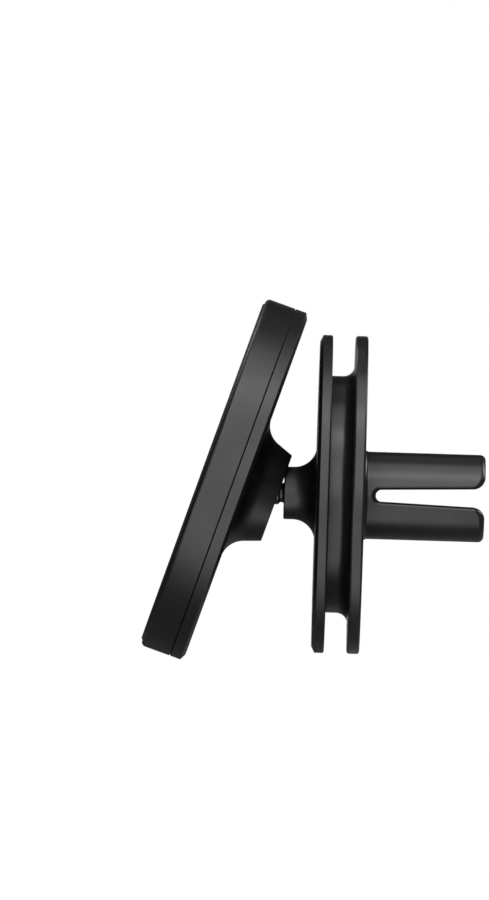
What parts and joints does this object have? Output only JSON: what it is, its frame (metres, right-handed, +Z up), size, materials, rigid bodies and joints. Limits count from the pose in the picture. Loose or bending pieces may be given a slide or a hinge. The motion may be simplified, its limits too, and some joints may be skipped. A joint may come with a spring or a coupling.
{
  "type": "car phone mount",
  "caption": "Magnetic car phone mount: round head on a ball joint, cable spool and rubber fork that grips an air vent's blade.",
  "frame": {"origin": "centre of the spool's rear face, where it rests against the air vent's blades", "axes": "+X along the clip's axis into the vent, +Z up, the magnetic head on -X tilted about Y"},
  "size_m": [0.0532, 0.058, 0.057],
  "materials": {
    "pad_silicone": "matt silicone",
    "adhesive": "translucent adhesive film",
    "shell_plastic": "fine satin black",
    "cover_plastic": "fine satin black",
    "magnet_nickel": "nickel plated",
    "yoke_steel": "rolled",
    "tray_plastic": "moulded",
    "plate_steel": "stamped",
    "screw_steel": "dark zinc",
    "clip_screw_steel": "black oxide",
    "liner_plastic": "slippery moulded plastic",
    "spring_steel": "spring steel",
    "stud_metal": "black nickel",
    "plate_plastic": "fine satin black",
    "insert_brass": "knurled",
    "skeleton_plastic": "glass-filled nylon",
    "sleeve_rubber": "soft matt rubber"
  },
  "bodies": {
    "clip": {"front_plate": "plate_plastic", "thread_insert": "insert_brass", "clip_skeleton": "skeleton_plastic", "clip_sleeve": "sleeve_rubber", "clip_screws": "clip_screw_steel"},
    "stud": {"ball_stud": "stud_metal"},
    "socket": {"socket_seat": "liner_plastic", "pressure_cup": "liner_plastic", "disc_springs": "spring_steel"},
    "head": {"front_pad": "pad_silicone", "pad_adhesive": "adhesive", "front_shell": "shell_plastic", "magnets": "magnet_nickel", "steel_yoke": "yoke_steel", "magnet_tray": "tray_plastic", "rear_cover": "cover_plastic", "retainer_plate": "plate_steel", "retainer_screws": "screw_steel", "shell_screws": "screw_steel"}
  },
  "joints": [
    {"name": "head_swing", "type": "hinge", "parent": "clip", "child": "stud", "pos_m": [-0.01639, 0, 0], "axis": [1, 0, 0], "continuous": true},
    {"name": "head_tilt", "type": "hinge", "parent": "stud", "child": "socket", "pos_m": [-0.01639, 0, 0], "axis": [0, 1, 0], "range_deg": [-38.25, 1.75]},
    {"name": "head_spin", "type": "hinge", "parent": "socket", "child": "head", "pos_m": [-0.01639, 0, 0], "axis": [0.9497, 0, -0.3132], "continuous": true}
  ]
}
